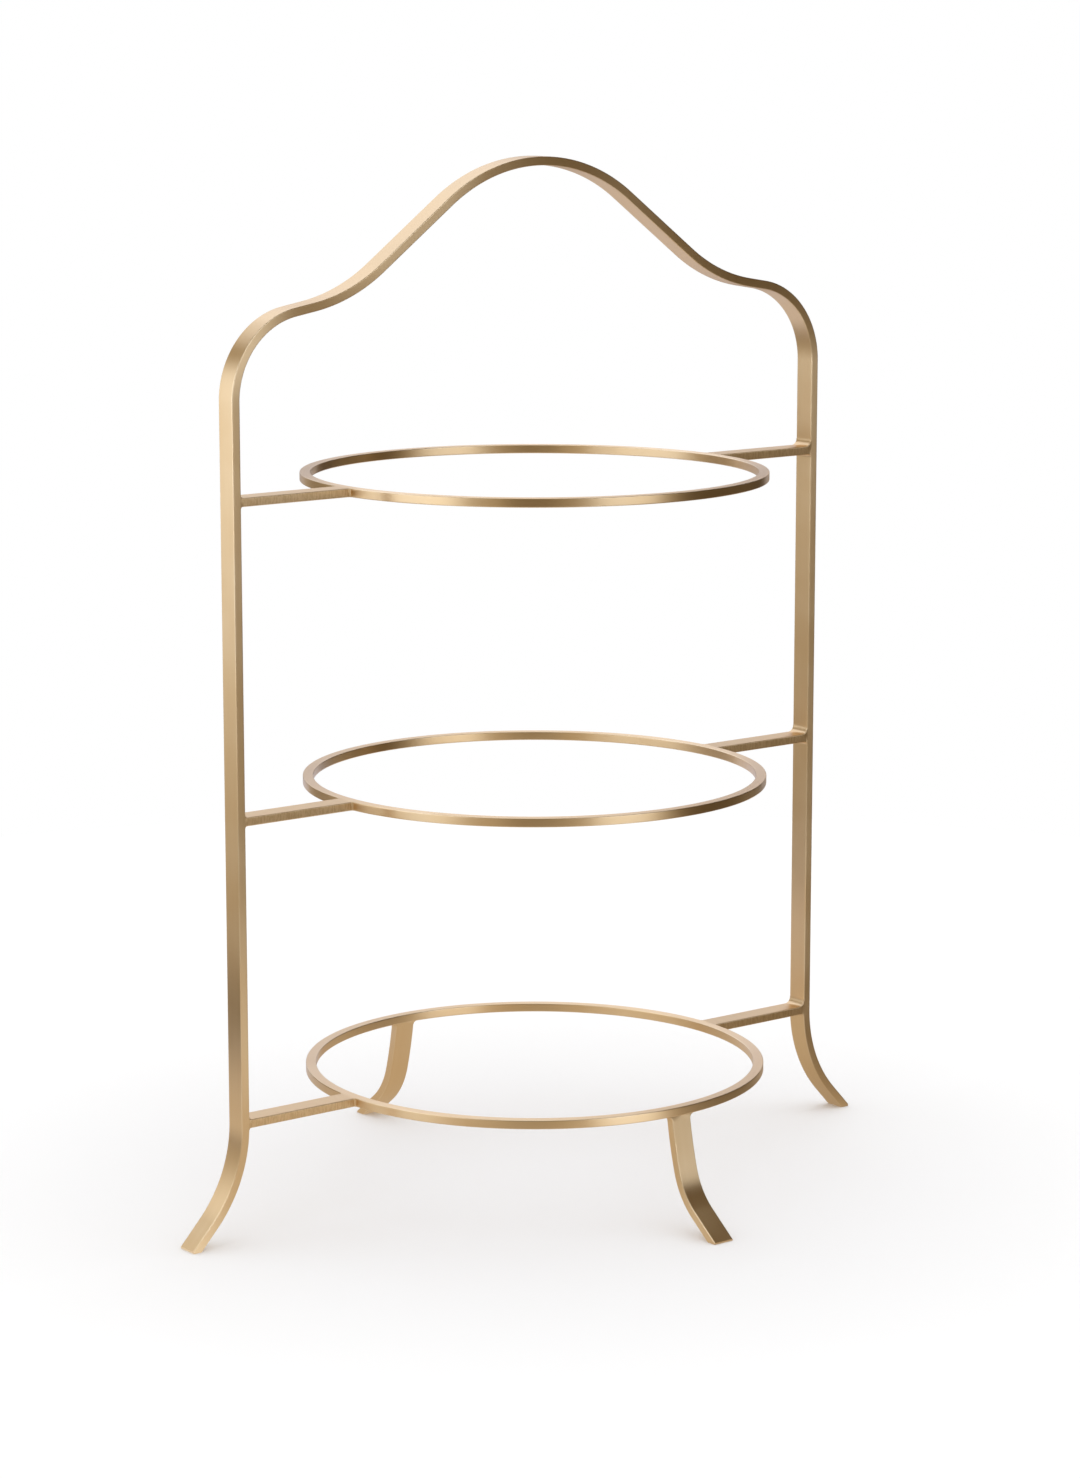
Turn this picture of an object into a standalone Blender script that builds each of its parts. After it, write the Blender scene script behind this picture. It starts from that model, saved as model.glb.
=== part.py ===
"""Three-tier cake stand, welded up from flat bar. Metres, +Z up.

The frame bar lies in the XZ plane, the rings lie round Z, and z = 0 is the surface the feet stand on.
"""

import math

import bmesh
import bpy
from mathutils import Vector

# Bar stock
BAR_WIDTH = 0.0100
BAR_THICKNESS = 0.0038
EDGE_BREAK = 0.0004  # chamfer that takes the sharpness off every long edge

# Whole stand
STAND_HEIGHT = 0.4500
HALF_SPAN = 0.1595  # from the middle to an upright's outer face
TIER_TOPS = {"bottom": 0.0532, "middle": 0.1826, "top": 0.3157}

# Rings
RING_RADIUS = 0.1015  # outer
RING_WALL = 0.0046
RING_SEGMENTS = 72

# Arch handle, from the middle outwards: radii are the bar's centre line
CROWN_RADIUS = 0.0815
CROWN_SLOPE = math.radians(36.4)  # of the upper slope, below horizontal
UPPER_SLOPE_LENGTH = 0.0440
SWAY_RADIUS = 0.0800
LOWER_SLOPE = math.radians(9.5)
SHOULDER_RADIUS = 0.0360

# Feet of the frame bar
FOOT_CURVE_TOP = 0.0510  # height where an upright starts to splay
FOOT_RADIUS = 0.0600
FOOT_SPLAY = math.radians(43)  # from vertical

# Separate legs, under the bottom ring
LEG_LEAN = math.radians(9)  # from vertical, where it meets the ring
LEG_UPPER_RADIUS = 0.1800
LEG_KNEE_START = math.radians(16)
LEG_KNEE_RADIUS = 0.0320
LEG_SPLAY = math.radians(52)

# Welds
GAP = 0.0003  # between a weld and the bars it joins
ROOT = 0.0014  # weld metal between two bar ends
TOE = 0.0003  # thickness at the end of a fillet
ARM_TOP_FILLET = 0.0034
ARM_UNDER_FILLET = 0.0018
RING_CORNER_FILLET = 0.0026
LEG_CORNER_FILLET = 0.0030
FILLET_STEPS = 5

ARC_STEP = math.radians(5)
SHARP_ANGLE = math.radians(35)

BRASS = {
    "frame_brass": ((0.60, 0.44, 0.26), 0.32),
    "ring_brass": ((0.62, 0.46, 0.28), 0.30),
    "arm_brass": ((0.60, 0.45, 0.27), 0.36),
    "leg_brass": ((0.60, 0.44, 0.26), 0.32),
    "weld_brass": ((0.57, 0.42, 0.25), 0.45),
}


def clear_scene():
    for obj in list(bpy.data.objects):
        bpy.data.objects.remove(obj, do_unlink=True)


def brass_material(name):
    color, roughness = BRASS[name]
    material = bpy.data.materials.new(name)
    material.use_nodes = True
    shader = material.node_tree.nodes["Principled BSDF"]
    shader.inputs["Base Color"].default_value = (*color, 1)
    shader.inputs["Metallic"].default_value = 1
    shader.inputs["Roughness"].default_value = roughness
    material.diffuse_color = (*color, 1)
    return material


# A path is a list of (x, z, heading), where heading is the angle below +X.


def along(heading):
    return Vector((math.cos(heading), -math.sin(heading)))


def run_line(path, length):
    x, z, heading = path[-1]
    step = along(heading) * length
    path.append((x + step.x, z + step.y, heading))


def run_arc(path, radius, turn):
    """Bends by turn: a positive turn bends down and back, a negative one bends outwards."""
    x, z, start = path[-1]
    side = math.copysign(radius, turn)
    steps = max(2, round(abs(turn) / ARC_STEP))
    for i in range(1, steps + 1):
        heading = start + turn * i / steps
        dx = side * (math.sin(heading) - math.sin(start))
        dz = side * (math.cos(heading) - math.cos(start))
        path.append((x + dx, z + dz, heading))


def half_frame_path():
    """Centre line of the frame bar from the top of the arch to its +X foot."""
    down = math.radians(90)
    path = [(0, STAND_HEIGHT - BAR_THICKNESS / 2, 0)]
    run_arc(path, CROWN_RADIUS, CROWN_SLOPE)
    run_line(path, UPPER_SLOPE_LENGTH)
    run_arc(path, SWAY_RADIUS, LOWER_SLOPE - CROWN_SLOPE)
    upright_x = HALF_SPAN - BAR_THICKNESS / 2
    shoulder_reach = SHOULDER_RADIUS * (1 - math.sin(LOWER_SLOPE))
    lower_run = upright_x - shoulder_reach - path[-1][0]
    run_line(path, lower_run / math.cos(LOWER_SLOPE))
    run_arc(path, SHOULDER_RADIUS, down - LOWER_SLOPE)
    run_line(path, path[-1][1] - FOOT_CURVE_TOP)
    run_arc(path, FOOT_RADIUS, -FOOT_SPLAY)
    run_line(path, path[-1][1] / math.cos(FOOT_SPLAY))
    return path


def leg_path():
    """Centre line of a leg from just under the bottom ring to the floor, with +X outwards."""
    down = math.radians(90)
    top = TIER_TOPS["bottom"] - BAR_THICKNESS - ROOT - 2 * GAP
    start_x = RING_RADIUS - BAR_THICKNESS / 2
    path = [(start_x, top, down - LEG_LEAN)]
    run_arc(path, LEG_UPPER_RADIUS, LEG_LEAN - LEG_KNEE_START)
    run_arc(path, LEG_KNEE_RADIUS, LEG_KNEE_START - LEG_SPLAY)
    run_line(path, path[-1][1] / math.cos(LEG_SPLAY))
    return path


def bar_edges(path, level_start=None, level_end=None):
    """The bar's two long outlines in XZ. An end given a level is cut flat at that height."""
    rows = []
    for x, z, heading in path:
        normal = Vector((math.sin(heading), math.cos(heading))) * BAR_THICKNESS / 2
        centre = Vector((x, z))
        rows.append([centre + normal, centre - normal])
    for index, level in ((0, level_start), (-1, level_end)):
        if level is None:
            continue
        direction = along(path[index][2])
        rows[index] = [p + direction * (level - p.y) / direction.y for p in rows[index]]
    return rows


def mirrored(rows):
    """Rows for both halves of a bar whose first row lies on x = 0."""
    other = [[Vector((-p.x, p.y)) for p in row] for row in reversed(rows[1:])]
    return other + rows


def break_edges(bm):
    bmesh.ops.recalc_face_normals(bm, faces=bm.faces)
    sharp = [e for e in bm.edges if e.calc_face_angle(0) > SHARP_ANGLE]
    bmesh.ops.bevel(bm, geom=sharp, offset=EDGE_BREAK, segments=1, affect="EDGES")


def mesh_from(bm, name):
    bmesh.ops.recalc_face_normals(bm, faces=bm.faces)
    mesh = bpy.data.meshes.new(name)
    bm.to_mesh(mesh)
    bm.free()
    mesh.shade_smooth()
    mesh.set_sharp_from_angle(angle=SHARP_ANGLE)
    return mesh


def thicken(bm, depth):
    """Extrudes the flat faces by the vector depth into a closed solid."""
    grown = bmesh.ops.extrude_face_region(bm, geom=bm.faces[:])
    moved = [v for v in grown["geom"] if isinstance(v, bmesh.types.BMVert)]
    bmesh.ops.translate(bm, verts=moved, vec=depth)


def bar_mesh(name, rows):
    """A flat bar whose narrow outline is rows, in XZ, and whose width runs along Y."""
    bm = bmesh.new()
    front = [[bm.verts.new((p.x, -BAR_WIDTH / 2, p.y)) for p in row] for row in rows]
    for (a, b), (c, d) in zip(front, front[1:]):
        bm.faces.new((a, c, d, b))
    back = bmesh.ops.duplicate(bm, geom=bm.verts[:] + bm.edges[:] + bm.faces[:])
    verts = [v for v in back["geom"] if isinstance(v, bmesh.types.BMVert)]
    bmesh.ops.translate(bm, verts=verts, vec=(0, BAR_WIDTH, 0))
    rim = [e for e in bm.edges if e.is_boundary]
    bmesh.ops.bridge_loops(bm, edges=rim)
    break_edges(bm)
    return mesh_from(bm, name)


def ring_mesh():
    """A ring of rectangular bar with its top face at z = 0."""
    inner = RING_RADIUS - RING_WALL
    section = ((RING_RADIUS, 0), (RING_RADIUS, -BAR_THICKNESS), (inner, -BAR_THICKNESS), (inner, 0))
    bm = bmesh.new()
    verts = [bm.verts.new((x, 0, z)) for x, z in section]
    edges = [bm.edges.new((verts[i - 1], verts[i])) for i in range(len(verts))]
    bmesh.ops.spin(
        bm, geom=verts + edges, cent=(0, 0, 0), axis=(0, 0, 1), angle=math.tau,
        steps=RING_SEGMENTS, use_merge=True,
    )
    bmesh.ops.remove_doubles(bm, verts=bm.verts, dist=0.00001)
    break_edges(bm)
    return mesh_from(bm, "ring")


def arm_mesh():
    """The +X arm, with its top face at z = 0, from near the ring to near the upright."""
    inner_end = RING_RADIUS + ROOT + 2 * GAP
    outer_end = HALF_SPAN - BAR_THICKNESS - ROOT - 2 * GAP
    path = [(inner_end, -BAR_THICKNESS / 2, 0), (outer_end, -BAR_THICKNESS / 2, 0)]
    return bar_mesh("arm", bar_edges(path))


def fillet_arc(centre, radius, first, last):
    """Points of a concave fillet from angle first to angle last."""
    turns = [first + (last - first) * i / FILLET_STEPS for i in range(FILLET_STEPS + 1)]
    return [centre + radius * Vector((math.cos(a), math.sin(a))) for a in turns]


def outline_mesh(name, outline, depth, lift=lambda p: (p.x, 0, p.y)):
    """A prism on a closed outline, placed in space by lift and extruded by depth."""
    bm = bmesh.new()
    bm.faces.new([bm.verts.new(lift(p)) for p in outline])
    thicken(bm, depth)
    return mesh_from(bm, name)


def frame_weld_mesh():
    """Weld between an arm's end and the +X upright, with the arm's top face at z = 0."""
    face = HALF_SPAN - BAR_THICKNESS - GAP
    root_x = face - ROOT
    top = ARM_TOP_FILLET - GAP
    under = ARM_UNDER_FILLET - GAP
    low = -BAR_THICKNESS - GAP
    top_centre = Vector((face - top, GAP + TOE + top))
    under_centre = Vector((face - under, low - TOE - under))
    outline = fillet_arc(top_centre, top, 0, -math.pi / 2)
    outline += [Vector((face - top, GAP)), Vector((root_x, GAP)), Vector((root_x, low))]
    outline += [Vector((face - under, low))]
    outline += fillet_arc(under_centre, under, math.pi / 2, 0)
    width = BAR_WIDTH - 2 * EDGE_BREAK
    return outline_mesh(
        "frame_weld", outline, (0, width, 0), lambda p: (p.x, -width / 2, p.y)
    )


def collar_outline(fillet, base_radius=None):
    """Weld round a bar's end: u runs across the bar, v away from what it joins.

    The base is straight, or follows a circle of base_radius centred at v = -base_radius.
    """
    side = BAR_WIDTH / 2 + GAP
    reach = side + TOE + fillet

    def base(u):
        if base_radius is None:
            return 0.0
        return math.sqrt(base_radius**2 - u**2) - base_radius

    shoulder = base(reach) + TOE
    right = [Vector((reach, shoulder))]
    right += fillet_arc(Vector((reach, shoulder + fillet)), fillet, -math.pi / 2, -math.pi)
    right += [Vector((side, shoulder + fillet)), Vector((side, ROOT))]
    left = [Vector((-p.x, p.y)) for p in reversed(right)]
    steps = 2 * FILLET_STEPS
    floor = [-reach + 2 * reach * i / steps for i in range(steps + 1)]
    return right[1:] + left[:-1] + [Vector((u, base(u))) for u in floor]


def ring_weld_mesh():
    """Weld between the ring and the +X arm, flush with both, with its top face at z = 0."""
    outline = collar_outline(RING_CORNER_FILLET, RING_RADIUS + GAP)
    start = RING_RADIUS + GAP
    return outline_mesh(
        "ring_weld", outline, (0, 0, -BAR_THICKNESS), lambda p: (start + p.y, p.x, 0)
    )


def leg_weld_mesh():
    """Weld between the bottom ring's underside, at z = 0, and the +X leg."""
    outer = RING_RADIUS - 2 * GAP
    depth = BAR_THICKNESS - 2 * GAP
    return outline_mesh(
        "leg_weld", collar_outline(LEG_CORNER_FILLET), (-depth, 0, 0),
        lambda p: (outer, p.x, -GAP - p.y),
    )


def frame_mesh():
    return bar_mesh("frame_bar", mirrored(bar_edges(half_frame_path(), level_end=0)))


def leg_mesh():
    path = leg_path()
    return bar_mesh("leg", bar_edges(path, level_start=path[0][1], level_end=0))


def add_part(name, mesh, material, parent, height=0.0, turn=0.0):
    """One copy of mesh, raised to height and turned about Z."""
    obj = bpy.data.objects.new(name, mesh)
    bpy.context.scene.collection.objects.link(obj)
    if not mesh.materials:
        mesh.materials.append(material)
    obj.location.z = height
    obj.rotation_euler.z = turn
    obj.parent = parent
    return obj


def add_tiers(stand, materials):
    ring, arm = ring_mesh(), arm_mesh()
    frame_weld, ring_weld = frame_weld_mesh(), ring_weld_mesh()
    for tier, top in TIER_TOPS.items():
        add_part(f"ring_{tier}", ring, materials["ring_brass"], stand, top)
        for side, turn in (("right", 0), ("left", math.pi)):
            place = f"{tier}_{side}"
            add_part(f"arm_{place}", arm, materials["arm_brass"], stand, top, turn)
            add_part(f"frame_weld_{place}", frame_weld, materials["weld_brass"], stand, top, turn)
            add_part(f"ring_weld_{place}", ring_weld, materials["weld_brass"], stand, top, turn)


def add_legs(stand, materials):
    leg, leg_weld = leg_mesh(), leg_weld_mesh()
    underside = TIER_TOPS["bottom"] - BAR_THICKNESS
    for side, turn in (("front", -math.pi / 2), ("back", math.pi / 2)):
        add_part(f"leg_{side}", leg, materials["leg_brass"], stand, 0, turn)
        add_part(f"leg_weld_{side}", leg_weld, materials["weld_brass"], stand, underside, turn)


def main():
    clear_scene()
    materials = {name: brass_material(name) for name in BRASS}
    stand = bpy.data.objects.new("cake_stand", None)
    bpy.context.scene.collection.objects.link(stand)
    add_part("frame_bar", frame_mesh(), materials["frame_brass"], stand)
    add_tiers(stand, materials)
    add_legs(stand, materials)


main()
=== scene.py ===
import math

import bmesh
import bpy
from mathutils import Matrix, Vector


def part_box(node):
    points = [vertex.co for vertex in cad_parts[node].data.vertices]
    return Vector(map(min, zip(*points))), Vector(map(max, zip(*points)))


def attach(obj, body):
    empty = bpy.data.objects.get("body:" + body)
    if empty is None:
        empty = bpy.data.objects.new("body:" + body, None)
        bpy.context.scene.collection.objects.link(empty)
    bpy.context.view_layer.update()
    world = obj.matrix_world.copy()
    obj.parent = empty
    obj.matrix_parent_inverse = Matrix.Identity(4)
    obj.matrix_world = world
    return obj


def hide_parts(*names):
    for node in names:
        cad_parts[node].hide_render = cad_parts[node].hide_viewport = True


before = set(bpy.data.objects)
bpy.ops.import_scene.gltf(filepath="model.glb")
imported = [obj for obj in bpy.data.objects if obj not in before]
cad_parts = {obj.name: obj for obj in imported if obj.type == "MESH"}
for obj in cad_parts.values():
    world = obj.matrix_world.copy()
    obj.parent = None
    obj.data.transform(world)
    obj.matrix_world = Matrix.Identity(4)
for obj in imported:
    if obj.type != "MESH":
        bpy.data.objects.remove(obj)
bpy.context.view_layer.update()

mm = 0.001
down = math.radians(90)  # a heading straight down
onPlane = 1e-6  # metres: nearer than this counts as lying on a plane
print("frame loaded:", len(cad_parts), "nodes")

# sizes shared by every bar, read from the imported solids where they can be
lowCorner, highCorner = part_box("frame_bar")
ringLow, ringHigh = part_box("ring_top")
stand = {
    "height": highCorner.z,
    "barWidth": highCorner.y - lowCorner.y,
    "barThickness": ringHigh.z - ringLow.z,
    "halfSpan": 159.5 * mm,  # outer face of an upright
    "ringRadius": ringHigh.x,
    "ringWall": 4.6 * mm,
    "edgeRadius": 0.45 * mm,
    "edgeSteps": 4,
    "joinReach": 0.06 * mm,  # points of a ring's two ends nearer than this become one
}
tierTops = {tier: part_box("ring_" + tier)[1].z for tier in ("bottom", "middle", "top")}
wide, thin = stand["barWidth"], stand["barThickness"]
uprightFace = stand["halfSpan"] - thin  # inner face of an upright


# ---- paths: lists of (outward, height, heading), heading measured below the horizontal

def runLine(path, length, pieces=1):
    for _ in range(pieces):
        x, z, heading = path[-1]
        step = length / pieces
        path.append((x + math.cos(heading) * step, z - math.sin(heading) * step, heading))


def runBend(path, radius, turn, stepAngle=math.radians(1.5)):
    # a positive turn bends down and back in, a negative one outwards
    x, z, first = path[-1]
    side = math.copysign(radius, turn)
    pieces = max(3, round(abs(turn) / stepAngle))
    for i in range(1, pieces + 1):
        heading = first + turn * i / pieces
        dx = side * (math.sin(heading) - math.sin(first))
        dz = side * (math.cos(heading) - math.cos(first))
        path.append((x + dx, z + dz, heading))


def joinedPoints(path, place):
    return [Vector(place(x, z)) for x, z, _ in path]


# ---- the flat bar: one tree that sweeps a rounded bar along a path

def newSocket(tree, name, kind, value=None, way="INPUT"):
    socket = tree.interface.new_socket(name, in_out=way, socket_type=kind)
    if value is not None:
        socket.default_value = value
    return socket


def flatBarTree():
    tree = bpy.data.node_groups.new("flatBar", "GeometryNodeTree")
    newSocket(tree, "Geometry", "NodeSocketGeometry")
    newSocket(tree, "Across Normal", "NodeSocketFloat", wide)
    newSocket(tree, "Along Normal", "NodeSocketFloat", thin)
    newSocket(tree, "Edge Radius", "NodeSocketFloat", stand["edgeRadius"])
    newSocket(tree, "Edge Steps", "NodeSocketInt", stand["edgeSteps"])
    newSocket(tree, "Closed Ring", "NodeSocketBool", False)
    newSocket(tree, "Finish", "NodeSocketMaterial")
    newSocket(tree, "Geometry", "NodeSocketGeometry", way="OUTPUT")
    add = tree.nodes.new
    link = tree.links.new
    given = add("NodeGroupInput")
    result = add("NodeGroupOutput")

    # the path, with its length kept on every point
    path = add("GeometryNodeMeshToCurve")
    link(given.outputs["Geometry"], path.inputs["Mesh"])
    keepRun = add("GeometryNodeCaptureAttribute")
    keepRun.capture_items.new("FLOAT", "run")
    link(path.outputs["Curve"], keepRun.inputs["Geometry"])
    link(add("GeometryNodeSplineParameter").outputs["Length"], keepRun.inputs["run"])

    # the bar's section, with its own place kept on every point
    section = add("GeometryNodeCurvePrimitiveQuadrilateral")
    link(given.outputs["Across Normal"], section.inputs["Width"])
    link(given.outputs["Along Normal"], section.inputs["Height"])
    rounded = add("GeometryNodeFilletCurve")
    rounded.mode = "POLY"
    link(section.outputs["Curve"], rounded.inputs["Curve"])
    link(given.outputs["Edge Steps"], rounded.inputs["Count"])
    link(given.outputs["Edge Radius"], rounded.inputs["Radius"])
    keepPlace = add("GeometryNodeCaptureAttribute")
    keepPlace.capture_items.new("VECTOR", "place")
    link(rounded.outputs["Curve"], keepPlace.inputs["Geometry"])
    link(add("GeometryNodeInputPosition").outputs["Position"], keepPlace.inputs["place"])

    sweep = add("GeometryNodeCurveToMesh")
    link(keepRun.outputs["Geometry"], sweep.inputs["Curve"])
    link(keepPlace.outputs["Geometry"], sweep.inputs["Profile Curve"])
    openEnds = add("FunctionNodeBooleanMath")
    openEnds.operation = "NOT"
    link(given.outputs["Closed Ring"], openEnds.inputs[0])
    link(openEnds.outputs[0], sweep.inputs["Fill Caps"])

    # barSpace: along the bar, across it and through it, in metres
    split = add("ShaderNodeSeparateXYZ")
    link(keepPlace.outputs["place"], split.inputs[0])
    space = add("ShaderNodeCombineXYZ")
    link(keepRun.outputs["run"], space.inputs[0])
    link(split.outputs[0], space.inputs[1])
    link(split.outputs[1], space.inputs[2])
    store = add("GeometryNodeStoreNamedAttribute")
    store.data_type = "FLOAT_VECTOR"
    store.domain = "CORNER"
    store.inputs["Name"].default_value = "barSpace"
    link(sweep.outputs["Mesh"], store.inputs["Geometry"])
    link(space.outputs[0], store.inputs["Value"])
    around = add("ShaderNodeMath")
    around.operation = "ADD"
    link(split.outputs[0], around.inputs[0])
    link(split.outputs[1], around.inputs[1])
    flatSpace = add("ShaderNodeCombineXYZ")
    link(keepRun.outputs["run"], flatSpace.inputs[0])
    link(around.outputs[0], flatSpace.inputs[1])
    storeUv = add("GeometryNodeStoreNamedAttribute")
    storeUv.data_type = "FLOAT2"
    storeUv.domain = "CORNER"
    storeUv.inputs["Name"].default_value = "barUV"
    link(store.outputs["Geometry"], storeUv.inputs["Geometry"])
    link(flatSpace.outputs[0], storeUv.inputs["Value"])

    # a closed ring's two ends are welded after its corners are named
    weld = add("GeometryNodeMergeByDistance")
    weld.inputs["Distance"].default_value = stand["joinReach"]
    link(storeUv.outputs["Geometry"], weld.inputs["Geometry"])
    choose = add("GeometryNodeSwitch")
    choose.input_type = "GEOMETRY"
    link(given.outputs["Closed Ring"], choose.inputs["Switch"])
    link(storeUv.outputs["Geometry"], choose.inputs["False"])
    link(weld.outputs["Geometry"], choose.inputs["True"])

    real = add("GeometryNodeRealizeInstances")
    link(choose.outputs["Output"], real.inputs["Geometry"])
    finish = add("GeometryNodeSetMaterial")
    link(real.outputs["Geometry"], finish.inputs["Geometry"])
    link(given.outputs["Finish"], finish.inputs["Material"])
    link(finish.outputs["Geometry"], result.inputs["Geometry"])
    return tree


def setInputs(modifier, values):
    for item in modifier.node_group.interface.items_tree:
        if item.item_type == "SOCKET" and item.in_out == "INPUT" and item.name in values:
            modifier[item.identifier] = values[item.name]


def sweptBar(name, points, across, along, material, closed=False):
    # makes the path's mesh, runs the tree on it and returns the plain mesh object
    edges = [(i, i + 1) for i in range(len(points) - 1)]
    mesh = bpy.data.meshes.new(name + "Path")
    mesh.from_pydata(points, edges, [])
    piece = bpy.data.objects.new(name, mesh)
    bpy.context.scene.collection.objects.link(piece)
    modifier = piece.modifiers.new("flatBar", "NODES")
    modifier.node_group = barTree
    setInputs(modifier, {
        "Across Normal": across,
        "Along Normal": along,
        "Edge Radius": stand["edgeRadius"],
        "Edge Steps": stand["edgeSteps"],
        "Closed Ring": closed,
        "Finish": material,
    })
    return settled(piece)


def settled(piece):
    # the evaluated result becomes the piece's own mesh, and the modifiers go
    bpy.context.view_layer.update()
    graph = bpy.context.evaluated_depsgraph_get()
    mesh = bpy.data.meshes.new_from_object(
        piece.evaluated_get(graph), preserve_all_data_layers=True, depsgraph=graph
    )
    mesh.name = piece.name
    piece.modifiers.clear()
    piece.data = mesh
    return piece


def editMesh(piece, change=None):
    bm = bmesh.new()
    bm.from_mesh(piece.data)
    if change:
        change(bm)
    bmesh.ops.recalc_face_normals(bm, faces=bm.faces)
    bm.to_mesh(piece.data)
    bm.free()


def evenShading(piece, sharpFrom=math.radians(40)):
    # smooth over the rounded edges, flat on the flats
    piece.data.shade_smooth()
    piece.data.set_sharp_from_angle(angle=sharpFrom)
    modifier = piece.modifiers.new("evenShading", "WEIGHTED_NORMAL")
    modifier.keep_sharp = True
    modifier.weight = 100
    return settled(piece)


sole = {
    "pastFloor": 6 * mm,  # a bar runs on this far below the floor, then is cut flat
    "toeFacet": 1.3 * mm,
    "toeSlope": 0.25,
    "edgeBreak": 0.35 * mm,
}


def grind(bm, point, normal):
    # takes off what stands past a plane, and closes the cut
    cut = bmesh.ops.bisect_plane(
        bm, geom=bm.verts[:] + bm.edges[:] + bm.faces[:], dist=1e-7,
        plane_co=point, plane_no=normal, clear_outer=True,
    )
    rim = [e for e in cut["geom_cut"] if isinstance(e, bmesh.types.BMEdge)]
    bmesh.ops.holes_fill(bm, edges=rim, sides=0)


def cutAtFloor(bm):
    # flat soles, with a wider facet ground on the outermost edge of each
    grind(bm, (0, 0, 0), (0, 0, -1))
    alongX = max(abs(v.co.x) for v in bm.verts) > max(abs(v.co.y) for v in bm.verts)
    axis = Vector((1, 0, 0)) if alongX else Vector((0, 1, 0))
    reaches = [v.co.dot(axis) for v in bm.verts if abs(v.co.z) < onPlane]
    for tip in (max(reaches), min(reaches)):
        outward = axis * math.copysign(1, tip)
        if min(reaches) * max(reaches) > 0 and abs(tip) < max(abs(r) for r in reaches):
            continue  # the inner edge of a single foot
        facing = (outward - Vector((0, 0, sole["toeSlope"]))).normalized()
        grind(bm, outward * (abs(tip) - sole["toeFacet"]), facing)
    rims = {e for e in bm.edges if all(abs(v.co.z) < onPlane for v in e.verts)}
    bmesh.ops.bevel(
        bm, geom=list(rims), offset=sole["edgeBreak"], segments=2, affect="EDGES", profile=0.5
    )


def finishPiece(piece, slot, *nodes):
    evenShading(piece)
    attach(piece, "root")
    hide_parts(*nodes)
    return piece


# ---- brass

brass = {
    "colour": (0.81, 0.585, 0.325),
    "paleColour": (0.87, 0.665, 0.41),
    "edgeHighlightColour": (0.94, 0.79, 0.57),
    "roughness": 0.33,
    "anisotropy": 0.85,
    "brushAlong": 0.25,  # turn of the shine that spreads light across the brush lines
    # brush lines
    "grainLength": 14 * mm,
    "grainWidth": 0.30 * mm,
    "grainDepth": 0.004 * mm,
    "broadGrain": (16, 420, 420),  # per metre along, across and through the bar
    "grainShares": (0.65, 0.35),  # of fine lines and broad ones
    "streakRoughness": 0.06,
    "bumpStrength": 0.5,
    # soft patches of tone
    "toneSize": 0.035,
    "toneRange": (0.3, 0.7),
    "toneShares": (0.6, 0.4),  # of patches and grain
    "patchRange": (0.35, 0.75),
    "patchRoughness": (-0.025, 0.035),
    # narrow sides ground across the bar, on the arms
    "groundFrom": (0.5 * mm, 0.1 * mm),  # distances in from the side where it starts and is full
    "groundRoughness": 0.04,
    "crossGrain": (1800, 500, 420),
    "speckleDepth": 0.010 * mm,
    "speckleColour": (0.66, 0.45, 0.23),
    "speckleRange": (0.40, 0.58),
    "speckleAmount": 0.6,
    # painted highlight along the rounded edges, in patches, with a little less roughness there
    "edgeHighlightFrom": (0.55 * mm, 0.1 * mm),
    "edgeHighlightRange": (0.35, 0.6),
    "edgeHighlightLeast": 0.35,
    "edgeHighlightAmount": 0.6,
    "edgePolish": 0.06,
}


class Wires:
    # short names for the few shader nodes used again and again

    def __init__(self, material):
        self.nodes = material.node_tree.nodes
        self.links = material.node_tree.links

    def put(self, socket, value):
        if isinstance(value, bpy.types.NodeSocket):
            self.links.new(value, socket)
        else:
            socket.default_value = value

    def math(self, operation, a, b=0.0, clamp=False):
        node = self.nodes.new("ShaderNodeMath")
        node.operation = operation
        node.use_clamp = clamp
        self.put(node.inputs[0], a)
        self.put(node.inputs[1], b)
        return node.outputs[0]

    def ramp(self, value, fromLow, fromHigh, toLow=0.0, toHigh=1.0):
        node = self.nodes.new("ShaderNodeMapRange")
        node.interpolation_type = "SMOOTHSTEP"
        self.put(node.inputs["Value"], value)
        self.put(node.inputs["From Min"], fromLow)
        self.put(node.inputs["From Max"], fromHigh)
        self.put(node.inputs["To Min"], toLow)
        self.put(node.inputs["To Max"], toHigh)
        return node.outputs[0]

    def blend(self, factor, a, b):
        node = self.nodes.new("ShaderNodeMix")
        node.data_type = "RGBA"
        self.put(node.inputs["Factor"], factor)
        for socket, value in zip([s for s in node.inputs if s.type == "RGBA"], (a, b)):
            self.put(socket, value if isinstance(value, bpy.types.NodeSocket) else (*value, 1))
        return [s for s in node.outputs if s.type == "RGBA"][0]

    def mixed(self, factor, a, b):
        node = self.nodes.new("ShaderNodeMix")
        for name, value in (("Factor", factor), ("A", a), ("B", b)):
            self.put(node.inputs[name], value)
        return node.outputs["Result"]

    def scaled(self, vector, scale):
        node = self.nodes.new("ShaderNodeVectorMath")
        node.operation = "MULTIPLY"
        self.put(node.inputs[0], vector)
        node.inputs[1].default_value = scale
        return node.outputs[0]

    def noise(self, vector, detail=2.0, roughness=0.5):
        node = self.nodes.new("ShaderNodeTexNoise")
        node.inputs["Scale"].default_value = 1.0
        node.inputs["Detail"].default_value = detail
        node.inputs["Roughness"].default_value = roughness
        self.put(node.inputs["Vector"], vector)
        return node.outputs["Fac"]


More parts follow.
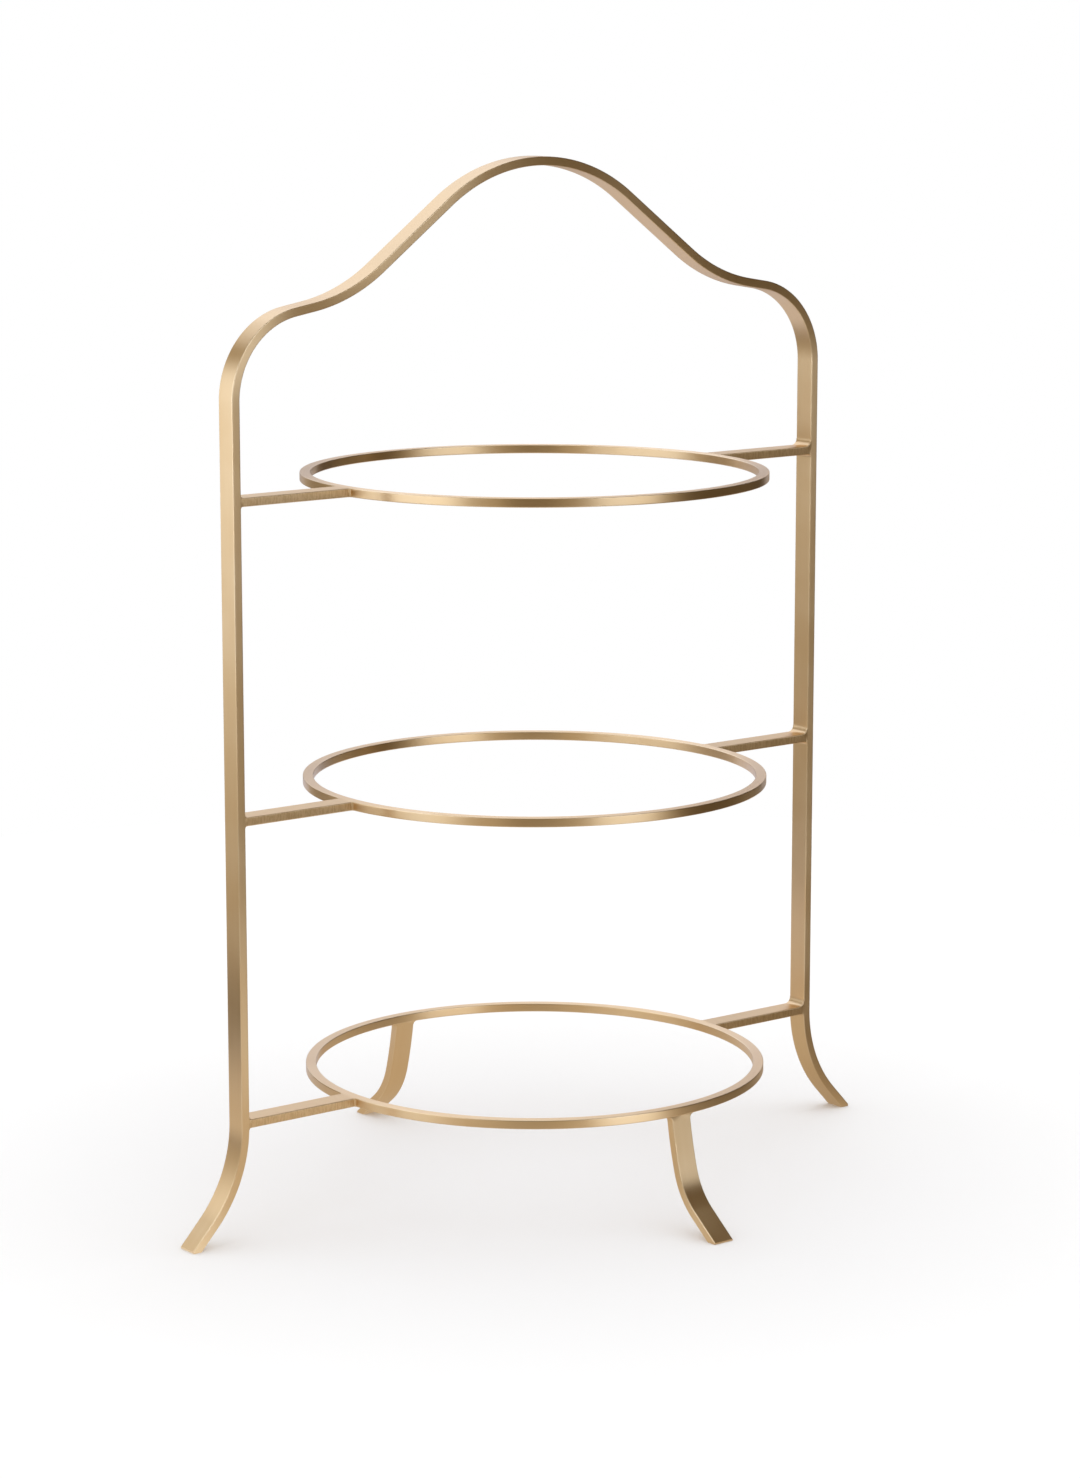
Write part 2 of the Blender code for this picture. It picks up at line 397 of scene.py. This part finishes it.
def brassMaterial(name, across, along, groundSides=None):
    # groundSides turns the shine on the narrow sides: 0 straight across the bar, 0.25 along it
    material = bpy.data.materials.new(name)
    material.use_nodes = True
    w = Wires(material)
    shader = w.nodes["Principled BSDF"]
    shader.inputs["Metallic"].default_value = 1.0
    shader.inputs["Anisotropic"].default_value = brass["anisotropy"]
    shader.inputs["Anisotropic Rotation"].default_value = brass["brushAlong"]

    place = w.nodes.new("ShaderNodeAttribute")
    place.attribute_name = "barSpace"
    space = place.outputs["Vector"]
    split = w.nodes.new("ShaderNodeSeparateXYZ")
    w.put(split.inputs[0], space)
    fromMiddle = w.math("ABSOLUTE", split.outputs[1])
    fromCore = w.math("ABSOLUTE", split.outputs[2])

    # brush lines run along the bar
    lines = (1 / brass["grainLength"],) + (1 / brass["grainWidth"],) * 2
    longGrain = w.noise(w.scaled(space, lines))
    broadGrain = w.noise(w.scaled(space, brass["broadGrain"]), detail=1.0)
    fine, broad = brass["grainShares"]
    grain = w.math("ADD", w.math("MULTIPLY", longGrain, fine), w.math("MULTIPLY", broadGrain, broad))
    bumpDepth = brass["grainDepth"]
    bumpHeight = broadGrain
    if groundSides is not None:
        # the narrow sides were ground across, which leaves them speckled
        crossGrain = w.noise(w.scaled(space, brass["crossGrain"]), detail=3.0, roughness=0.65)
        side = w.ramp(fromMiddle, *(across / 2 - inset for inset in brass["groundFrom"]))
        grain = w.mixed(side, grain, crossGrain)
        bumpHeight = w.mixed(side, broadGrain, crossGrain)
        bumpDepth = w.mixed(side, brass["grainDepth"], brass["speckleDepth"])
        pits = w.ramp(crossGrain, *brass["speckleRange"], brass["speckleAmount"], 0.0)
        speckle = w.math("MULTIPLY", side, pits)
        turned = w.mixed(side, brass["brushAlong"], groundSides)
        w.put(shader.inputs["Anisotropic Rotation"], turned)

    # soft patches of tone, from plating and handling
    objectSpace = w.nodes.new("ShaderNodeTexCoord").outputs["Object"]
    patches = w.noise(w.scaled(objectSpace, (1 / brass["toneSize"],) * 3), detail=3.0)
    patchShare, grainShare = brass["toneShares"]
    patchTone = w.ramp(patches, *brass["toneRange"], 0.0, patchShare)
    tone = w.math("ADD", patchTone, w.math("MULTIPLY", broadGrain, grainShare))
    colour = w.blend(tone, brass["colour"], brass["paleColour"])
    if groundSides is not None:
        colour = w.blend(speckle, colour, brass["speckleColour"])

    # the rounded edges get a painted highlight: a paler colour in patches, and a little less
    # roughness
    overSide = w.ramp(fromMiddle, *(across / 2 - inset for inset in brass["edgeHighlightFrom"]))
    overFace = w.ramp(fromCore, *(along / 2 - inset for inset in brass["edgeHighlightFrom"]))
    edgePatches = w.ramp(patches, *brass["edgeHighlightRange"], brass["edgeHighlightLeast"], 1.0)
    edge = w.math("MULTIPLY", w.math("MULTIPLY", overSide, overFace), edgePatches)
    colour = w.blend(w.math("MULTIPLY", edge, brass["edgeHighlightAmount"]), colour, brass["edgeHighlightColour"])
    w.put(shader.inputs["Base Color"], colour)

    streaks = w.math("MULTIPLY", grain, brass["streakRoughness"])
    ground = 0.0 if groundSides is None else brass["groundRoughness"]
    rough = w.math("ADD", streaks, brass["roughness"] + ground)
    rough = w.math("ADD", rough, w.ramp(patches, *brass["patchRange"], *brass["patchRoughness"]))
    polish = w.math("MULTIPLY", edge, brass["edgePolish"])
    rough = w.math("SUBTRACT", rough, polish, clamp=True)
    w.put(shader.inputs["Roughness"], rough)

    bump = w.nodes.new("ShaderNodeBump")
    bump.inputs["Strength"].default_value = brass["bumpStrength"]
    w.put(bump.inputs["Distance"], bumpDepth)
    w.put(bump.inputs["Height"], bumpHeight)
    w.put(shader.inputs["Normal"], bump.outputs["Normal"])
    tangent = w.nodes.new("ShaderNodeTangent")
    tangent.direction_type = "UV_MAP"
    tangent.uv_map = "barUV"
    w.put(shader.inputs["Tangent"], tangent.outputs[0])
    return material


barTree = flatBarTree()
frameBrass = brassMaterial("frameBrass", wide, thin)
ringBrass = brassMaterial("ringBrass", stand["ringWall"], thin)
armBrass = {
    "left": brassMaterial("armBrassLeft", wide, thin, groundSides=0.0),
    "right": brassMaterial("armBrassRight", wide, thin, groundSides=0.06),
}
legBrass = brassMaterial("legBrass", wide, thin)
print("brass finishes made")


# ---- the frame bar: arch handle, uprights and feet in one bent length

arch = {
    "crownRadius": 81.5 * mm,
    "crownSlope": math.radians(36.4),
    "upperSlopeLength": 44 * mm,
    "swayRadius": 80 * mm,
    "lowerSlope": math.radians(9.5),
    "shoulderRadius": 36 * mm,
    "footCurveTop": 51 * mm,
    "footRadius": 60 * mm,
    "footSplay": math.radians(43),
}


def halfArchPath():
    path = [(0.0, stand["height"] - thin / 2, 0.0)]
    runBend(path, arch["crownRadius"], arch["crownSlope"])
    runLine(path, arch["upperSlopeLength"], 4)
    runBend(path, arch["swayRadius"], arch["lowerSlope"] - arch["crownSlope"])
    uprightX = stand["halfSpan"] - thin / 2
    shoulderReach = arch["shoulderRadius"] * (1 - math.sin(arch["lowerSlope"]))
    runLine(path, (uprightX - shoulderReach - path[-1][0]) / math.cos(arch["lowerSlope"]), 2)
    runBend(path, arch["shoulderRadius"], down - arch["lowerSlope"])
    runLine(path, path[-1][1] - arch["footCurveTop"], 24)
    runBend(path, arch["footRadius"], -arch["footSplay"])
    runLine(path, (path[-1][1] + sole["pastFloor"]) / math.cos(arch["footSplay"]), 3)
    return path


def makeFrameBar():
    half = joinedPoints(halfArchPath(), lambda x, z: (x, 0, z))
    other = [Vector((-p.x, 0, p.z)) for p in reversed(half[1:])]
    piece = sweptBar("frameBar", other + half, wide, thin, frameBrass)
    editMesh(piece, cutAtFloor)
    return finishPiece(piece, "frame_bar", "frame_bar")


makeFrameBar()
print("frame bar made")


# ---- rings

def makeRing(tier, steps=360):
    middle = stand["ringRadius"] - stand["ringWall"] / 2
    height = tierTops[tier] - thin / 2
    turns = [math.tau * i / steps for i in range(steps + 1)]
    points = [Vector((middle * math.cos(a), middle * math.sin(a), height)) for a in turns]
    name = "ring" + tier.capitalize()
    piece = sweptBar(name, points, stand["ringWall"], thin, ringBrass, closed=True)
    return finishPiece(piece, "rings", "ring_" + tier)


for tier in tierTops:
    makeRing(tier)
print("rings made")


# ---- arms, each with the weld fillets at its two ends

arm = {
    "ringFillet": 0.8 * mm,
    "topFillet": {"right": 3.2 * mm, "left": 1.3 * mm},
    "underFillet": {"right": 1.4 * mm, "left": 0.9 * mm},
    "ringFallAway": 0.13 * mm,  # how far the ring curves back across an arm's width
    "intoRing": 1.3 * mm,
    "intoUpright": 1.2 * mm,
    "shy": 0.03 * mm,  # thinner than the bars it joins, so that no two faces lie in one plane
    "filletSteps": 10,
    "plainSteps": 12,
}
ringFace = stand["ringRadius"] - arm["ringFallAway"]


def filletGrowth(depth, radius):
    # how far a concave fillet has widened, depth metres into it
    depth = min(max(depth, 0.0), radius)
    return radius - math.sqrt(radius**2 - depth**2)


def armStations(topFillet):
    # distances from the stand's axis, close together along each fillet
    ringFillet, plain = arm["ringFillet"], arm["plainSteps"]
    quarter = [math.pi / 2 * i / arm["filletSteps"] for i in range(arm["filletSteps"] + 1)]
    stations = [stand["ringRadius"] - arm["intoRing"]]
    stations += [ringFace + ringFillet * (1 - math.sin(a)) for a in reversed(quarter)]
    start, end = stations[-1], uprightFace - topFillet
    stations += [start + (end - start) * i / plain for i in range(1, plain)]
    stations += [end + topFillet * math.sin(a) for a in quarter]
    return stations + [uprightFace + arm["intoUpright"]]


def makeArm(tier, side, sign):
    middle = tierTops[tier] - thin / 2
    ringFillet, top, under = arm["ringFillet"], arm["topFillet"][side], arm["underFillet"][side]
    points = [Vector((sign * x, 0, middle)) for x in armStations(top)]
    width = wide - arm["shy"]
    thickness = thin - arm["shy"]
    name = "arm" + tier.capitalize() + side.capitalize()
    piece = sweptBar(name, points, width, thickness, armBrass[side])
    ringEnd = ringFace + ringFillet
    for vertex in piece.data.vertices:
        x = abs(vertex.co.x)
        wider = 1 + filletGrowth(ringEnd - x, ringFillet) / (width / 2)
        vertex.co.y *= wider
        rise = vertex.co.z - middle
        fillet = top if rise > 0 else under
        taller = 1 + filletGrowth(x - (uprightFace - fillet), fillet) / (thickness / 2)
        vertex.co.z = middle + rise * taller
    editMesh(piece)
    joined = [f"{part}_{tier}_{side}" for part in ("arm", "ring_weld", "frame_weld")]
    return finishPiece(piece, "arms", *joined)


for tier in tierTops:
    makeArm(tier, "right", 1)
    makeArm(tier, "left", -1)
print("arms made")


# ---- the two legs under the bottom ring

leg = {
    "lean": math.radians(9),
    "upperRadius": 180 * mm,
    "kneeStart": math.radians(16),
    "kneeRadius": 32 * mm,
    "splay": math.radians(52),
    "fillet": 2.2 * mm,
    "intoRing": 0.3 * mm,
    "startBelow": 2.0 * mm,
    "filletPieces": 14,
    "upperStep": math.radians(0.15),
}
ringUnderside = tierTops["bottom"] - thin


def legPath():
    start = down - leg["lean"]
    top = ringUnderside - leg["startBelow"]
    rise = leg["startBelow"] + leg["intoRing"]
    x = stand["ringRadius"] - thin / 2
    path = [(x - rise / math.tan(start), top + rise, start)]
    runLine(path, rise / math.sin(start), leg["filletPieces"])
    runBend(path, leg["upperRadius"], leg["lean"] - leg["kneeStart"], leg["upperStep"])
    runBend(path, leg["kneeRadius"], leg["kneeStart"] - leg["splay"])
    runLine(path, (path[-1][1] + sole["pastFloor"]) / math.cos(leg["splay"]), 3)
    return path


def makeLeg(side, sign):
    points = joinedPoints(legPath(), lambda x, z: (0, sign * x, z))
    name = "leg" + side.capitalize()
    piece = sweptBar(name, points, wide, thin, legBrass)
    for vertex in piece.data.vertices:
        depth = leg["fillet"] - (ringUnderside - vertex.co.z)
        vertex.co.x *= 1 + filletGrowth(depth, leg["fillet"]) / (wide / 2)
    editMesh(piece, cutAtFloor)
    return finishPiece(piece, "legs", "leg_" + side, "leg_weld_" + side)


makeLeg("front", -1)
makeLeg("back", 1)
print("legs made")


# ---- studio

studio = {
    "floorRadius": 0.80,
    "floorColour": (0.96, 0.96, 0.96),
    # painted shade: the floor's colour under the stand
    "paintedShadeColour": (0.868, 0.862, 0.870),
    "shadeReach": (0.05, 0.37),  # the painted shade under the stand fades out between these
    "floorDrop": 0.02 * mm,
    "dome": 1.09,
}


def makeFloor():
    mesh = bpy.data.meshes.new("floor")
    bm = bmesh.new()
    bmesh.ops.create_circle(bm, cap_ends=True, segments=128, radius=studio["floorRadius"])
    bm.to_mesh(mesh)
    bm.free()
    floor = bpy.data.objects.new("floor", mesh)
    floor.location.z = -studio["floorDrop"]
    bpy.context.scene.collection.objects.link(floor)
    material = bpy.data.materials.new("paleFloor")
    material.use_nodes = True
    w = Wires(material)
    shader = w.nodes["Principled BSDF"]
    shader.inputs["Roughness"].default_value = 0.8
    shader.inputs["Specular IOR Level"].default_value = 0.0
    length = w.nodes.new("ShaderNodeVectorMath")
    length.operation = "LENGTH"
    w.put(length.inputs[0], w.nodes.new("ShaderNodeTexCoord").outputs["Object"])
    # painted shade: the floor is darker near the stand's middle and paler further out
    away = w.ramp(length.outputs["Value"], *studio["shadeReach"])
    floorColour = w.blend(away, studio["paintedShadeColour"], studio["floorColour"])
    w.put(shader.inputs["Base Color"], floorColour)
    mesh.materials.append(material)
    floor.visible_glossy = False


makeFloor()

# what the metal mirrors. Bearings run from +Y towards +X, in degrees, and heights are in metres near
# the stand and in degrees above the horizon far from it
reflections = {
    "air": (0.45, 0.385, 0.29),
    "nearRadius": 0.60,
    "nearTop": 0.80,
    "nearSpan": (-128, 0),
    "nearSteps": 48,
    # on the curved card close by on the left, for each patch:
    # bearing, half width, soft edge, bottom, its softness, top, its softness, colour
    "near": {
        "gap": (-20, 6, 12, 0.00, 0.10, 0.60, 0.20, (0.26, 0.21, 0.15)),
        "box": (-79, 20, 18, 0.00, 0.32, 0.72, 0.22, (1.62, 1.72, 1.92)),
    },
    # far off: the same, with heights in degrees
    "far": {
        "haze": (39, 44, 18, 2, 6, 44, 10, (0.58, 0.56, 0.62)),
        "farFloor": (20, 42, 15, -30, 5, 12, 8, (0.50, 0.465, 0.47)),
        "backdrop": (15, 55, 18, 8, 24, 89, 2, (1.24, 1.30, 1.54)),
        "slopeGlow": (5, 22, 25, 22, 14, 80, 20, (1.34, 1.42, 1.66)),
        "cameraSide": (-141, 5, 15, -30, 5, 60, 10, (0.15, 0.115, 0.065)),
        "flag": (104, 33, 14, -30, 5, 70, 16, (0.065, 0.044, 0.022)),
        "aboveBox": (150, 40, 15, 26, 8, 76, 10, (0.13, 0.09, 0.05)),
        "box": (172, 9, 13, -12, 14, 40, 16, (2.00, 2.12, 2.36)),
    },
    "overhead": (0.62, 0.60, 0.56),
    "overheadFrom": (0.94, 0.99),  # sine of the height where it starts and where it is full
    "beyondBench": (0.20, 0.16, 0.11),
    "beyondBenchTo": (-0.30, -0.16),
    # the bench under the stand, as the metal mirrors it
    "benchCentre": (-0.05, 0.30),
    "benchRadius": 0.82,
    "benchDrop": 0.05 * mm,
    "bench": (0.62, 0.54, 0.45),
    "benchBack": (0.80, 0.82, 1.02),
    "backFrom": (0.10, 0.45),  # how far back the paler part starts and is full
    "benchShade": (0.17, 0.13, 0.085),
    "shadeCentre": (0.34, -0.20),
    "shadeReach": (0.10, 0.34),
    # bright patches: bearing, half width, soft edge, colour
    "glares": {
        "left": (-88, 8, 12, (0.98, 1.00, 1.06)),
        "right": (178, 6, 12, (0.95, 0.97, 1.03)),
    },
    "glareFrom": (0.13, 0.20),
    # a dark band on the left: bearing, half width, soft edge, then how far out it starts and ends
    "edgeShade": (0.10, 0.075, 0.045),
    "edgeBearing": (-45, 32, 20),
    "edgeStart": (0.38, 0.45),
    "edgeEnd": (0.55, 0.60),
}


def onBearing(w, level, bearing, half, soft):
    # 1 within half a width of the bearing, 0 past its soft edge
    turn = math.radians(bearing)
    dot = w.nodes.new("ShaderNodeVectorMath")
    dot.operation = "DOT_PRODUCT"
    w.put(dot.inputs[0], level)
    dot.inputs[1].default_value = (math.sin(turn), math.cos(turn), 0)
    outer, inner = (math.cos(math.radians(angle)) for angle in (half + soft, half))
    return w.ramp(dot.outputs["Value"], outer, inner)


def levelPart(w, vector):
    level = w.nodes.new("ShaderNodeVectorMath")
    level.operation = "NORMALIZE"
    w.put(level.inputs[0], w.scaled(vector, (1, 1, 0)))
    split = w.nodes.new("ShaderNodeSeparateXYZ")
    w.put(split.inputs[0], vector)
    return level.outputs[0], split.outputs[2]


def withCards(w, vector, cards, measure):
    # the air's light with each card laid over it in turn
    level, height = levelPart(w, vector)
    light = reflections["air"]
    for bearing, half, soft, low, lowSoft, high, highSoft, colour in cards.values():
        above = w.ramp(height, measure(low), measure(low + lowSoft))
        below = w.ramp(height, measure(high - highSoft), measure(high), 1.0, 0.0)
        card = w.math("MULTIPLY", above, below)
        card = w.math("MULTIPLY", card, onBearing(w, level, bearing, half, soft))
        light = w.blend(card, light, colour)
    return light


def mirroredOnly(name, bm, colours):
    # a glowing surface that only reflections see
    mesh = bpy.data.meshes.new(name)
    bm.to_mesh(mesh)
    bm.free()
    surface = bpy.data.objects.new(name, mesh)
    bpy.context.scene.collection.objects.link(surface)
    for ray in ("camera", "diffuse", "shadow", "transmission", "volume_scatter"):
        setattr(surface, "visible_" + ray, False)
    material = bpy.data.materials.new(name)
    material.use_nodes = True
    material.cycles.emission_sampling = "NONE"
    w = Wires(material)
    w.nodes.clear()
    glow = w.nodes.new("ShaderNodeEmission")
    w.put(glow.inputs["Color"], colours(w, w.nodes.new("ShaderNodeTexCoord").outputs["Object"]))
    output = w.nodes.new("ShaderNodeOutputMaterial")
    w.put(output.inputs["Surface"], glow.outputs[0])
    mesh.materials.append(material)


def nearColours(w, place):
    return withCards(w, place, reflections["near"], lambda height: height)


def makeNearCard():
    bm = bmesh.new()
    first, last = (math.radians(a) for a in reflections["nearSpan"])
    radius, top, steps = (reflections[key] for key in ("nearRadius", "nearTop", "nearSteps"))
    columns = []
    for i in range(steps + 1):
        bearing = first + (last - first) * i / steps
        x, y = radius * math.sin(bearing), radius * math.cos(bearing)
        columns.append((bm.verts.new((x, y, 0)), bm.verts.new((x, y, top))))
    for (lowA, highA), (lowB, highB) in zip(columns, columns[1:]):
        bm.faces.new((lowA, lowB, highB, highA))
    mirroredOnly("leftCard", bm, nearColours)


def distanceFrom(w, place, centre):
    away = w.nodes.new("ShaderNodeVectorMath")
    away.operation = "DISTANCE"
    w.put(away.inputs[0], place)
    away.inputs[1].default_value = (*centre, 0)
    return away.outputs["Value"]


def benchColours(w, place):
    split = w.nodes.new("ShaderNodeSeparateXYZ")
    w.put(split.inputs[0], place)
    back = w.ramp(split.outputs[1], *reflections["backFrom"])
    colour = w.blend(back, reflections["bench"], reflections["benchBack"])
    fromShade = distanceFrom(w, place, reflections["shadeCentre"])
    shade = w.ramp(fromShade, *reflections["shadeReach"], 1.0, 0.0)
    colour = w.blend(shade, colour, reflections["benchShade"])
    out = distanceFrom(w, place, (0, 0))
    level = levelPart(w, place)[0]
    for bearing, half, soft, glare in reflections["glares"].values():
        beyondRing = w.ramp(out, *reflections["glareFrom"])
        patch = w.math("MULTIPLY", onBearing(w, level, bearing, half, soft), beyondRing)
        colour = w.blend(patch, colour, glare)
    starts = w.ramp(out, *reflections["edgeStart"])
    band = w.math("MULTIPLY", starts, w.ramp(out, *reflections["edgeEnd"], 1.0, 0.0))
    band = w.math("MULTIPLY", band, onBearing(w, level, *reflections["edgeBearing"]))
    return w.blend(band, colour, reflections["edgeShade"])


def makeBench():
    bm = bmesh.new()
    place = Matrix.Translation((*reflections["benchCentre"], -reflections["benchDrop"]))
    radius = reflections["benchRadius"]
    bmesh.ops.create_circle(bm, cap_ends=True, segments=96, radius=radius, matrix=place)
    mirroredOnly("mirroredBench", bm, benchColours)


def sineOf(degrees):
    return math.sin(math.radians(degrees))


def makeWorld():
    world = bpy.data.worlds.new("studio")
    bpy.context.scene.world = world
    world.use_nodes = True
    world.cycles.sampling_method = "NONE"  # every surface here sees it well enough by its own rays
    w = Wires(world)
    w.nodes.clear()
    direction = w.nodes.new("ShaderNodeTexCoord").outputs["Generated"]
    around = withCards(w, direction, reflections["far"], sineOf)
    rise = levelPart(w, direction)[1]
    overhead = w.ramp(rise, *reflections["overheadFrom"])
    around = w.blend(overhead, around, reflections["overhead"])
    aboveBench = w.ramp(rise, *reflections["beyondBenchTo"])
    light = w.blend(aboveBench, reflections["beyondBench"], around)
    path = w.nodes.new("ShaderNodeLightPath")
    sky = {}
    for name, colour, strength in (
        ("metal", light, 1.0),
        ("floor", (1, 1, 1, 1), studio["dome"]),
        ("view", (1, 1, 1, 1), 1.0),
    ):
        sky[name] = w.nodes.new("ShaderNodeBackground")
        w.put(sky[name].inputs["Color"], colour)
        sky[name].inputs["Strength"].default_value = strength
    shown = sky["metal"].outputs[0]
    for ray, name in (("Is Diffuse Ray", "floor"), ("Is Camera Ray", "view")):
        choose = w.nodes.new("ShaderNodeMixShader")
        w.put(choose.inputs[0], path.outputs[ray])
        w.put(choose.inputs[1], shown)
        w.put(choose.inputs[2], sky[name].outputs[0])
        shown = choose.outputs[0]
    output = w.nodes.new("ShaderNodeOutputWorld")
    w.put(output.inputs["Surface"], shown)


makeNearCard()
makeBench()
makeWorld()
bpy.context.scene.view_settings.view_transform = "Standard"
bpy.context.scene.view_settings.look = "None"
print("studio made")


# ---- camera

view = {
    "bearing": math.radians(37.997),  # of the camera's look, from +Y towards +X
    "distance": 1.720,
    "height": 0.5164,
    "pitch": math.radians(10.512),
    "aimAside": math.radians(0.079),
    "lens": 97.32,
    "clipStart": 0.05,
}


def makeCamera():
    data = bpy.data.cameras.new("camera")
    data.lens = view["lens"]
    data.clip_start = view["clipStart"]
    camera = bpy.data.objects.new("camera", data)
    bpy.context.scene.collection.objects.link(camera)
    bearing, pitch = view["bearing"], view["pitch"]
    camera.location = (
        -view["distance"] * math.sin(bearing),
        -view["distance"] * math.cos(bearing),
        view["height"],
    )
    look = bearing + view["aimAside"]
    ahead = math.cos(pitch)
    aim = Vector((math.sin(look) * ahead, math.cos(look) * ahead, -math.sin(pitch)))
    camera.rotation_euler = aim.to_track_quat("-Z", "Y").to_euler()
    bpy.context.scene.camera = camera


makeCamera()

bpy.context.view_layer.update()
